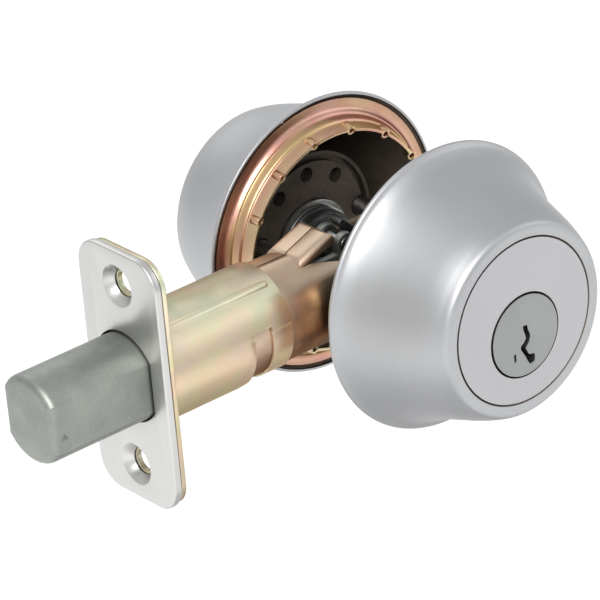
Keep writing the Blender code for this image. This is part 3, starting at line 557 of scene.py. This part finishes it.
rose = {"opening": 18.5, "top": 25.2, "lip": 31.15, "lipDeep": 1.0, "wall": 0.9, "mouthEdge": 0.15,
        "flank": [(19.6, 25.2), (20.5, 25.17), (21.15, 24.95), (21.65, 24.4), (22.15, 23.3), (22.8, 21.8),
                  (23.65, 19.4), (24.75, 15.6), (25.95, 11.6), (27.35, 7.6), (29.0, 3.9), (30.35, 1.85),
                  (31.0, 1.25), (31.5, 0.95), (31.75, 0.55), (31.68, 0.15), (31.45, 0.0)],
        "hollow": [(29.9, 1.9), (28.2, 4.1), (26.5, 7.7), (25.1, 11.7), (23.9, 15.6), (22.8, 19.4),
                   (22.0, 21.5), (21.2, 23.4)], "hollowTop": 20.4, "inwardLean": -0.05, "backLean": 0.3,
        "backFrom": 1.2}


def makeRose():
    top, under, mouth = rose["top"], rose["top"] - rose["wall"], rose["opening"]
    inside = [(rose["lip"], 0), (rose["lip"], rose["lipDeep"]), *rose["hollow"], (rose["hollowTop"], under),
              (mouth, under), (mouth, top - rose["mouthEdge"]), (mouth + rose["mouthEdge"], top)]
    piece = turnOnLathe("exteriorRose", [*easeThrough(rose["flank"], 4), *inside], steps=144)
    for finish in ("satinFlank", "hollowShadeCast"):
        piece.data.materials.append(finishes[finish])
    # faces that look inward or back into the hollow take the painted shade colour
    for face in piece.data.polygons:
        spot, way = face.center, face.normal
        inward = way.x * spot.x + way.z * spot.z < rose["inwardLean"] * math.hypot(spot.x, spot.z)
        behind = way.y > rose["backLean"] and spot.y < rimPlane - rose["backFrom"] * mm
        face.material_index = 1 if inward or behind else 0
    return piece


boreRing = {"sheet": 0.6, "notches": 15, "tab": 1.05, "slot": 0.62, "firstNotch": 102.0, "edge": 0.10,
            "notchRun": ((25.3, -3.0), (24.7, -5.2)), "slotPast": (0.1, 0.4),
            "funnel": [(30.2, 0.75), (28.9, 0.72), (28.3, 0.62), (27.75, 0.35), (27.35, -0.1), (27.15, -0.35),
                       (26.95, -0.42), (26.72, -0.6), (26.45, -1.2), (26.2, -1.9), (26.05, -2.2),
                       (25.85, -2.28), (25.62, -2.5), (25.4, -3.1), (25.2, -3.8), (25.0, -4.5), (24.85, -5.0),
                       (24.8, -5.3)]}


def makeBoreRing():
    rim, *rest = boreRing["funnel"]
    ring = turnOnLathe("exteriorBoreRing", [rim, *easeThrough(rest, 3)], steps=150, closed=False)
    useModifier(ring, "SOLIDIFY", thickness=boreRing["sheet"] * mm, offset=0)
    tabs, slots = [], []
    before, after = boreRing["slotPast"]
    for count in range(boreRing["notches"]):
        angle = math.radians(boreRing["firstNotch"] + 360 / boreRing["notches"] * count)
        way = Vector((math.cos(angle), 0, math.sin(angle)))
        start, end = (way * radius * mm + outFrom(0, along, 0) for radius, along in boreRing["notchRun"])
        run = end - start
        tabs.append(addRod("notchTab", boreRing["tab"], start, end, 16))
        slots.append(addRod("notchSlot", boreRing["slot"], start - run * before, end + run * after, 12))
    for row, operation in ((tabs, "UNION"), (slots, "DIFFERENCE")):
        takeUp(row[0])
        for rod in row:
            rod.select_set(True)
        bpy.ops.object.join()
        carve(ring, row[0], operation=operation)
    return softenEdges(ring, boreRing["edge"], 2, 40)


cylinder = {"disc": 18.2, "discThick": 2.5, "barrel": 17.1, "rear": 5.0, "face": 25.2, "bore": 9.5,
            "edge": 0.28, "screwSpread": 14.0, "groove": (16.3, 14.9, 1.5), "postHole": 3.5, "postDeep": 15.1,
            "screwHole": 2.3, "headHole": 4.2, "headDeep": 1.8, "past": 0.3,
            "pocket": 1.7, "pocketDeep": 2.5, "pocketOut": 12.4, "pocketWall": 2.2,
            "pocketAngles": (50, 90, 130, 230, 310)}


def screwPassage(side, x):
    if side == "exterior":
        return [addRod("postHole", cylinder["postHole"], outFrom(x, 0, 0),
                       outFrom(x, cylinder["postDeep"], 0), 48)]
    face, hole = cylinder["face"], cylinder["screwHole"]
    return [addRod("screwHole", hole, outFrom(x, 0, 0), outFrom(x, 30, 0), 48),
            addRod("screwSink", hole, outFrom(x, face - cylinder["headDeep"], 0),
                   outFrom(x, face + cylinder["past"], 0), 48, cylinder["headHole"])]


def makeCylinder(side):
    face, rear, (outer, inner, deep) = cylinder["face"], cylinder["rear"], cylinder["groove"]
    step = face - cylinder["discThick"]
    outline = [(0, face), (cylinder["disc"], face), (cylinder["disc"], step), (cylinder["barrel"], step),
               (cylinder["barrel"], rear), (outer, rear), (outer, rear + deep), (inner, rear + deep),
               (inner, rear), (0, rear)]
    body = turnOnLathe(side + "Cylinder", outline, closed=False)
    axis = plugCentre.z / mm
    cutters = [addRod("plugBore", cylinder["bore"], outFrom(0, 0, axis), outFrom(0, 30, axis), 128)]
    for x in (-cylinder["screwSpread"], cylinder["screwSpread"]):
        cutters += screwPassage(side, x)
    for angle in cylinder["pocketAngles"]:
        x = cylinder["pocketOut"] * math.cos(math.radians(angle))
        z = cylinder["pocketOut"] * math.sin(math.radians(angle))
        if math.hypot(x, z - axis) > cylinder["bore"] + cylinder["pocketWall"]:
            cutters.append(addRod("castingPocket", cylinder["pocket"], outFrom(x, 0, z),
                                  outFrom(x, rear + cylinder["pocketDeep"], z), 32))
    carve(body, *cutters)
    softenEdges(body, cylinder["edge"], 3, 40)
    for finish in ("satinDisc", "bodyCastInShade"):
        body.data.materials.append(finishes[finish])
    # the body behind the disc takes the painted shade colour
    for part in body.data.polygons:
        part.material_index = 0 if part.center.y < rimPlane - step * mm else 1
    return overToInterior(body, side)


plug = {"radius": 9.05, "front": 25.4, "rear": 3.2, "neck": 7.4, "neckFrom": 5.3, "edge": 0.3,
        "keyDeep": 20.5,
        "keyway": [(-0.57, 2.35), (0.65, 2.2), (0.75, 1.2), (1.15, 0.2), (1.3, -0.6), (0.9, -1.8),
                   (-0.1, -2.95), (0.45, -4.3), (0.9, -4.75), (2.1, -4.95), (2.3, -5.8), (2.1, -6.75),
                   (0.75, -7.0), (0.2, -6.0), (-0.25, -5.0), (-0.85, -3.9), (-1.5, -2.75), (-1.4, -2.05),
                   (-0.65, -1.6), (0.1, -0.7), (-0.15, 0.4), (-0.5, 1.4)],
        "toolSlot": (-3.2, -4.2, 0.28, 0.9), "toolDeep": 4, "tailBore": 3.6, "tailDeep": 7.0,
        "chamber": 1.3, "chamberPast": 0.2, "chamberTop": 8.9, "pins": 5}


def makePlug():
    front, rear, neckFrom = plug["front"], plug["rear"], plug["neckFrom"]
    outline = [(0, front), (plug["radius"], front), (plug["radius"], neckFrom), (plug["neck"], neckFrom),
               (plug["neck"], rear), (0, rear)]
    piece = turnOnLathe("exteriorPlugBody", outline, centre=plugCentre, closed=False)
    centre = plugCentre.z / mm
    corners = [outFrom(x, front + 1, z + centre) for x, z in plug["keyway"]]
    keyway = extrudeOutline("keywayCutter", corners, (0, (plug["keyDeep"] + 1) * mm, 0))
    slotX, slotZ, half, tall = plug["toolSlot"]
    toolSlot = addBlock("toolSlotCutter", outFrom(slotX - half, front + 1, centre + slotZ - tall),
                        outFrom(slotX + half, front - plug["toolDeep"], centre + slotZ + tall))
    tail = addRod("tailBore", plug["tailBore"], outFrom(0, 0, centre),
                  outFrom(0, plug["tailDeep"], centre), 48)
    carve(piece, keyway, toolSlot, tail)
    for number in range(1, plug["pins"] + 1):
        low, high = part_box(f"exterior_key_pin_{number}")
        y = (low + high).y / 2
        carve(piece, addRod("pinChamber", plug["chamber"], (0, y, low.z - plug["chamberPast"] * mm),
                            (0, y, (centre + plug["chamberTop"]) * mm), 24))
    return softenEdges(piece, plug["edge"], 3, 60)


clip = {"inner": 7.7, "outer": 9.45, "halfGap": 35, "from": 4.0, "thick": 0.7, "edge": 0.12}


def makeClip():
    start, end = -90 + clip["halfGap"], 270 - clip["halfGap"]
    loop = arcSpots(clip["outer"], start, end, 60) + arcSpots(clip["inner"], end, start, 60)
    centre = plugCentre.z / mm
    piece = extrudeOutline("exteriorPlugClip", [outFrom(x, clip["from"], z + centre) for x, z in loop],
                           (0, -clip["thick"] * mm, 0))
    return softenEdges(piece, clip["edge"], 2)


driver = {"radius": 8.0, "top": 2.9, "low": 0.7, "bore": 3.6, "toothAngle": 60, "toothInner": 2.12,
          "toothHalf": 0.6, "dishDeep": 0.45, "dish": (7.1, 6.8, 5.2, 4.9), "edge": 0.15}


def makeDriver(side):
    top, low, floor = driver["top"], driver["low"], driver["low"] + driver["dishDeep"]
    dish = list(zip(driver["dish"], (low, floor, floor, low)))
    outline = [(driver["radius"], top), (driver["radius"], low), *dish, (driver["bore"], low),
               (driver["bore"], top)]
    piece = turnOnLathe(side + "TailDriver", outline, centre=plugCentre, steps=96)
    lean = math.radians(90 + driver["toothAngle"] * (1 if side == "exterior" else -1))
    half = driver["toothHalf"] * mm
    tooth = addBlock("tooth", (driver["toothInner"] * mm, rimPlane - top * mm, -half),
                     ((driver["bore"] + 1) * mm, rimPlane - low * mm, half))
    tooth.data.transform(Matrix.Translation(plugCentre) @ Matrix.Rotation(-lean, 4, "Y"))
    weldOn(piece, tooth)
    return overToInterior(softenEdges(piece, driver["edge"], 2), side)


post = {"radius": 3.2, "bore": 2.3, "top": 14.8, "end": -6.5, "edge": 0.25,
        "groove": ((3.2, -2.2), (2.95, -2.5), (2.95, -3.2), (3.2, -3.5))}


def makePost(name, x):
    outline = [(post["radius"], post["top"]), *post["groove"], (post["radius"], post["end"]),
               (post["bore"], post["end"]), (post["bore"], post["top"])]
    return softenEdges(turnOnLathe(name, outline, centre=(x * mm, 0, 0), steps=64), post["edge"], 2)


screw = {"head": 3.5, "headEdge": 0.15, "headDeep": 1.65, "shank": 2.0, "top": 25.2, "end": -37.0,
         "threadFrom": -6.0, "threadStop": 0.6, "pitch": 0.95, "threadDeep": 0.32, "cross": (1.9, 0.32),
         "crossDeep": 1.3}


def makeMountingScrew(name, x):
    top, shank, root = screw["top"], screw["shank"], screw["shank"] - screw["threadDeep"]
    outline = [(0, top), (screw["head"], top), (screw["head"], top - screw["headEdge"]),
               (shank, top - screw["headDeep"]), (shank, screw["threadFrom"])]
    along = screw["threadFrom"]
    while along - screw["pitch"] > screw["end"] + screw["threadStop"]:
        outline += [(root, along - screw["pitch"] / 2), (shank, along - screw["pitch"])]
        along -= screw["pitch"]
    outline += [(root, screw["end"]), (0, screw["end"])]
    piece = turnOnLathe(name, outline, centre=(x * mm, 0, 0), steps=36, closed=False)
    for long, wide in (screw["cross"], reversed(screw["cross"])):
        carve(piece, addBlock("driveCutter", outFrom(x - long, top + 1, -wide),
                              outFrom(x + long, top - screw["crossDeep"], wide)))
    return overToInterior(piece, "interior")


fit(makeRose(), None, "latch", "satin_chrome", "exterior_housing")
fit(twin(bpy.data.objects["exteriorRose"], "interiorRose"), None, "latch", "satin_chrome", "interior_housing")
ring = makeBoreRing()
fit(twin(ring, "interiorBoreRing"), finishes["zincRing"], "latch", "yellow_zinc", "interior_ring", smooth=40)
fit(ring, finishes["zincRing"], "latch", "yellow_zinc", "exterior_ring", smooth=40)
for side in ("exterior", "interior"):
    fit(makeCylinder(side), None, "latch", "satin_face", side + "_cylinder_body")
    fit(makeDriver(side), finishes["castGrey"], side + "_plug", "die_cast", side + "_tail_driver")
plugBody = makePlug()
fit(twin(plugBody, "interiorPlugBody"), finishes["satinPlug"], "interior_plug", "satin_face", "interior_plug")
fit(plugBody, finishes["satinPlug"], "exterior_plug", "satin_face", "exterior_plug")
snapRing = makeClip()
fit(twin(snapRing, "interiorPlugClip"), finishes["springSteel"], "interior_plug", "spring_steel",
    "interior_plug_clip")
fit(snapRing, finishes["springSteel"], "exterior_plug", "spring_steel", "exterior_plug_clip")
for word, x in (("left", -cylinder["screwSpread"]), ("right", cylinder["screwSpread"])):
    fit(makePost(f"{word}Post", x), finishes["zincRing"], "latch", "yellow_zinc", "threaded_post_" + word)
    fit(makeMountingScrew(f"{word}MountingScrew", -x), finishes["springSteel"], "latch",
        "satin_face", "mounting_screw_" + word)
print("cylinders turned and bored")


# latch, with its places in mm from the lock's own axes
plate = {"width": 25.4, "length": 57.15, "corner": 6.35, "thick": 1.8, "edge": 0.4, "spacing": 41.28,
         "hole": 2.4, "countersink": 4.7, "sinkPast": 0.1, "boltPlay": 0.45, "holeEdge": 0.10, "backing": 1.2,
         "backingGap": 0.3, "backingInset": 0.45, "backingEdge": 0.25, "backingHoleEdge": 0.08,
         "tubePlay": 0.2, "before": 1, "through": 4}     # every hole's cutter starts before and goes through


def roundedPlate(name, x, thick, inset=0.0):
    w, h, r = plate["width"] / 2 - inset, plate["length"] / 2 - inset, plate["corner"] - inset
    loop = []
    for y, z, start in ((w - r, h - r, 0), (r - w, h - r, 90), (r - w, r - h, 180), (w - r, r - h, 270)):
        loop += [(y + a, z + b) for a, b in arcSpots(r, start, start + 90, 14)]
    corners = [Vector((x, y * mm, z * mm)) for y, z in loop]
    return extrudeOutline(name, corners, (thick * mm, 0, 0))


def flattedOutline(radius, halfWidth, x):
    # the bolt's section: round above and below, flat on its two sides
    edge = math.degrees(math.acos(halfWidth / radius))
    loop = arcSpots(radius, edge, 180 - edge, 40) + arcSpots(radius, 180 + edge, 360 - edge, 40)
    return [Vector((x, y * mm, z * mm)) for y, z in loop]


def alongRod(name, radius, start, end, height, steps, tipRadius=None):
    # a rod along the latch, from start to end in metres, at a height in mm
    return addRod(name, radius, (start, 0, height * mm), (end, 0, height * mm), steps, tipRadius)


def throughRod(name, radius, start, height, steps):
    return alongRod(name, radius, start - plate["before"] * mm, start + plate["through"] * mm, height, steps)


def makeFaceplate():
    piece = roundedPlate("faceplateFront", doorEdge, plate["thick"])
    softenEdges(piece, plate["edge"], 4)
    play, past = plate["boltPlay"], plate["sinkPast"]
    outline = flattedOutline(bar["radius"] + play, bar["flat"] + play, doorEdge - plate["before"] * mm)
    cutters = [extrudeOutline("openingCutter", outline, (plate["through"] * mm, 0, 0))]
    deep = plate["countersink"] - plate["hole"] - past
    for z in (plate["spacing"] / 2, -plate["spacing"] / 2):
        cutters.append(throughRod("screwHole", plate["hole"], doorEdge, z, 64))
        cutters.append(alongRod("countersink", plate["countersink"] + past, doorEdge - past * mm,
                                doorEdge + deep * mm, z, 64, plate["hole"] + past))
    carve(piece, *cutters)
    return softenEdges(piece, plate["holeEdge"], 2, 40)


def makeBackingPlate():
    start = doorEdge + (plate["thick"] + plate["backingGap"]) * mm
    piece = roundedPlate("backingPlate", start, plate["backing"], plate["backingInset"])
    softenEdges(piece, plate["backingEdge"], 3)
    cutters = [throughRod("tubeHole", tube["radius"] + plate["tubePlay"], start, 0, 128)]
    for z in (plate["spacing"] / 2, -plate["spacing"] / 2):
        cutters.append(throughRod("screwHole", plate["hole"], start, z, 48))
    carve(piece, *cutters)
    return softenEdges(piece, plate["backingHoleEdge"], 2, 40)


tube = {"radius": 12.0, "wall": 0.6, "stations": (-67.9, -62, -57, -52, -47, -40.35, -35.0), "edge": 0.10,
        "bandFrom": -40.5, "bandStep": 4, "bandSink": 0.965, "window": (-45.3, -40.4), "windowTop": 17.0,
        "windowSweep": 95.0, "windowReach": (15, 9), "bead": (-67.5, -36.2, 60.0, 1.15, 0.72),
        "beadEase": 0.9}


def sinkBand(piece):
    # the strip behind the window is pressed in a little
    low = tube["windowTop"] - tube["windowSweep"]
    high = tube["windowTop"] - tube["bandStep"]
    clearPicks()
    for point in piece.data.vertices:
        angle = math.degrees(math.atan2(point.co.z, -point.co.y))
        point.select = point.co.x > tube["bandFrom"] * mm and low < angle < high
    bpy.ops.object.mode_set(mode="EDIT")
    bpy.ops.transform.resize(value=(1, tube["bandSink"], tube["bandSink"]), center_override=(0, 0, 0))
    bpy.ops.object.mode_set(mode="OBJECT")


def makeFrontTube():
    outer, inner, stations = tube["radius"], tube["radius"] - tube["wall"], tube["stations"]
    outline = [(outer, x) for x in stations] + [(inner, x) for x in reversed(stations)]
    piece = turnOnLathe("latchTube", outline, axis="X")
    sinkBand(piece)
    start, end, angle, radius, sink = tube["bead"]
    y, z = -(outer - sink) * math.cos(math.radians(angle)), (outer - sink) * math.sin(math.radians(angle))
    bead = addRod("bead", radius, (start * mm, y * mm, z * mm), (end * mm, y * mm, z * mm), 24)
    softenEdges(bead, radius * tube["beadEase"], 4)
    weldOn(piece, bead)
    windowStart, windowEnd = tube["window"]
    first, far, near = 180 - tube["windowTop"], *tube["windowReach"]
    last = first + tube["windowSweep"]
    arc = arcSpots(far, first, last, 24) + arcSpots(near, last, first, 24)
    window = extrudeOutline("windowCutter", [Vector((windowStart * mm, y * mm, z * mm)) for y, z in arc],
                            ((windowEnd - windowStart) * mm, 0, 0))
    carve(piece, window)
    return softenEdges(piece, tube["edge"], 2, 40)


case = {"radius": 11.1, "wall": 0.6, "front": -52.0, "rear": 11.2, "hoodFront": -27.2, "hoodEnd": -17.2,
        "hoodTop": 14.9, "hoodFoot": 4.0, "hoodRoot": 0.1, "hoodHalf": 5.4, "shoulder": 2.0, "seam": 0.15,
        "slitFront": 4.7, "slitRear": 8.6, "slitStart": 0.9, "slitEnd": -12.0, "slitFrom": 5.5,
        "skirt": ((-1, 3.0), (-1, 9.2), (1.0, 9.5), (11, 12.3), (11, 3.0)), "skirtHalf": 9,
        "clearFrom": -31, "clearTo": 0.6, "hub": 5.8, "screwPass": 2.6, "spacerHole": 1.75, "edge": 0.10}


def hoodPrism(name, sink):
    # the hood's side view, pushed across; sink draws it in by the sheet's thickness
    front, half = case["hoodFront"], case["hoodHalf"] - sink
    end = case["hoodEnd"] + (1 if sink else 0)
    loop = [(front + sink, case["hoodFoot"]), (front + sink, case["radius"] - case["hoodRoot"] - sink),
            (end, case["hoodTop"] - sink), (end, case["hoodFoot"])]
    piece = extrudeOutline(name, [Vector((x * mm, -half * mm, z * mm)) for x, z in loop],
                           (0, 2 * half * mm, 0))
    clearPicks()
    points = piece.data.vertices
    for line in piece.data.edges:
        a, b = (points[i].co for i in line.vertices)
        line.select = abs(a.x - b.x) > mm and abs(a.z - b.z) > mm
    roundPicked((case["shoulder"] - sink) * mm, 6)
    return piece


def makeCaseShell():
    # the whole tube with its hood, before it is cut into halves
    outer, inner, front = case["radius"], case["radius"] - case["wall"], case["hoodFront"]
    shell = turnOnLathe("rearCase", [(outer, case["front"]), (outer, case["rear"]), (inner, case["rear"]),
                                     (inner, case["front"])], axis="X", steps=128)
    edge = [(front + case["slitStart"], case["slitFront"]), (case["slitEnd"], case["slitRear"]),
            (case["rear"] + 1, case["slitRear"])]
    wedge = [(x, -y) for x, y in edge] + edge[::-1]
    slit = [Vector((x * mm, y * mm, case["slitFrom"] * mm)) for x, y in wedge]
    carve(shell, extrudeOutline("slitCutter", slit, (0, 0, 20 * mm)))
    hood = hoodPrism("hood", 0)
    hollow = hoodPrism("hoodHollow", case["wall"])
    skirt = [Vector(((front + x) * mm, -case["skirtHalf"] * mm, z * mm)) for x, z in case["skirt"]]
    carve(hood, hollow, extrudeOutline("skirtCutter", skirt, (0, 2 * case["skirtHalf"] * mm, 0)))
    weldOn(shell, hood)
    carve(shell, alongRod("caseBore", inner, case["clearFrom"] * mm, (front + case["clearTo"]) * mm, 0, 128))
    return shell


def crossHole(name, radius, x, z, steps):
    return addRod(name, radius, (x, cadBox[0][1], z), (x, cadBox[1][1], z), steps)


def makeCaseHalves():
    shell = makeCaseShell()
    carve(shell, crossHole("hubHole", case["hub"], 0, plugCentre.z, 96),
          crossHole("screwPass", case["screwPass"], -cylinder["screwSpread"] * mm, 0, 48))
    for node in ("case_spacer_front", "case_spacer_rear"):
        low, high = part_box(node)
        middle = (low + high) / 2
        carve(shell, crossHole("spacerHole", case["spacerHole"], middle.x, middle.z, 32))
    halves = []
    for name, way in (("exteriorCaseHalf", -1), ("interiorCaseHalf", 1)):
        half = bpy.data.objects.new(name, shell.data.copy())
        bpy.context.scene.collection.objects.link(half)
        takeUp(half)
        bpy.ops.object.mode_set(mode="EDIT")
        bpy.ops.mesh.select_all(action="SELECT")
        bpy.ops.mesh.bisect(plane_co=(0, way * case["seam"] * mm, 0), plane_no=(0, way, 0), use_fill=True,
                            clear_inner=True)
        bpy.ops.object.mode_set(mode="OBJECT")
        halves.append(softenEdges(half, case["edge"], 2, 45))
    bpy.data.objects.remove(shell)
    return halves


bar = {"radius": 9.7, "flat": 8.0, "length": 38.5, "nose": 1.7, "edge": 0.18, "tonguePlay": 0.3,
       "tongueTop": 8.3, "mark": (2.9, -2.1, -7.5), "markReach": 2.2, "markTip": 0.3,
       "nearTip": 0.01}


def makeBolt():
    corners = flattedOutline(bar["radius"], bar["flat"], boltTip)
    piece = extrudeOutline("boltBar", corners, (bar["length"] * mm, 0, 0))
    clearPicks()
    points = piece.data.vertices
    for line in piece.data.edges:
        line.select = all(points[i].co.x < boltTip + bar["nearTip"] * mm for i in line.vertices)
    roundPicked(bar["nose"] * mm, 5)
    softenEdges(piece, bar["edge"], 3, 30)
    low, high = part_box("tail_link")
    play = bar["tonguePlay"] * mm
    tongue = addBlock("tongueSlot", (low.x - play, low.y - play, low.z - play),
                      (boltTip + (bar["length"] + 1) * mm, high.y + play, bar["tongueTop"] * mm))
    along, down, deep = (v * mm for v in bar["mark"])
    mark = addRod("gaugeMark", bar["markReach"], (boltTip + along, deep - mm, down),
                  (boltTip + along, deep, down), 3, bar["markTip"])
    return carve(piece, tongue, mark)


# the name, body and edge of each plain pin
pins = {"case_spacer_front": ("frontSpacer", "latch", 0.25),
        "case_spacer_rear": ("rearSpacer", "latch", 0.25),
        "drive_pin": ("drivePin", "bolt", 0.2),
        "link_pin": ("linkPin", "bolt", 0.2)}


def makeBar(name, node, edge):
    # a plain pin between the ends of its node, across the lock
    low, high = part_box(node)
    middle, radius = (low + high) / 2, (high.x - low.x) / 2 / mm
    piece = addRod(name, radius, (middle.x, low.y, middle.z), (middle.x, high.y, middle.z), 48)
    return softenEdges(piece, edge, 3)


fit(makeFaceplate(), finishes["satinPlate"], "latch", "satin_chrome", "faceplate")
fit(makeBackingPlate(), finishes["zincTube"], "latch", "yellow_zinc", "backing_plate")
fit(makeFrontTube(), finishes["zincTube"], "latch", "yellow_zinc", "front_tube")
for half, node in zip(makeCaseHalves(), ("rear_case_exterior", "rear_case_interior")):
    fit(half, finishes["zincCase"], "latch", "bronze_zinc", node)
fit(makeBolt(), finishes["sintered"], "bolt", "sintered_steel", "bolt")
for node, (name, body, edge) in pins.items():
    fit(makeBar(name, node, edge), finishes["springSteel"], body, "spring_steel", node)
print("latch made")


# mechanism: the name, finish, body, slot and edge of each piece that is refined from its node
works = {"cam": ("forkCam", "castGrey", "cam", "die_cast", 0.30),
         "tail_link": ("tailLink", "sintered", "bolt", "sintered_steel", 0.25),
         "torque_blade": ("torqueBlade", "springSteel", "cam", "spring_steel", 0.20),
         "detent_spring": ("detentLeaf", "springSteel", "latch", "spring_steel", 0.06),
         "hardened_core": ("hardenedCore", "springSteel", "bolt", "spring_steel", 0.30)}
for node, (name, finishName, body, slotName, edge) in works.items():
    fit(softenEdges(copyOf(node, name), edge, 3, 30), finishes[finishName], body, slotName, node)

for node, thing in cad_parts.items():
    if not thing.hide_render:
        inner = "pinBrass" if "key_pin" in node or "sidebar" in node else "springSteel"
        thing.data.materials.clear()
        thing.data.materials.append(finishes[inner])
print("mechanism fitted")
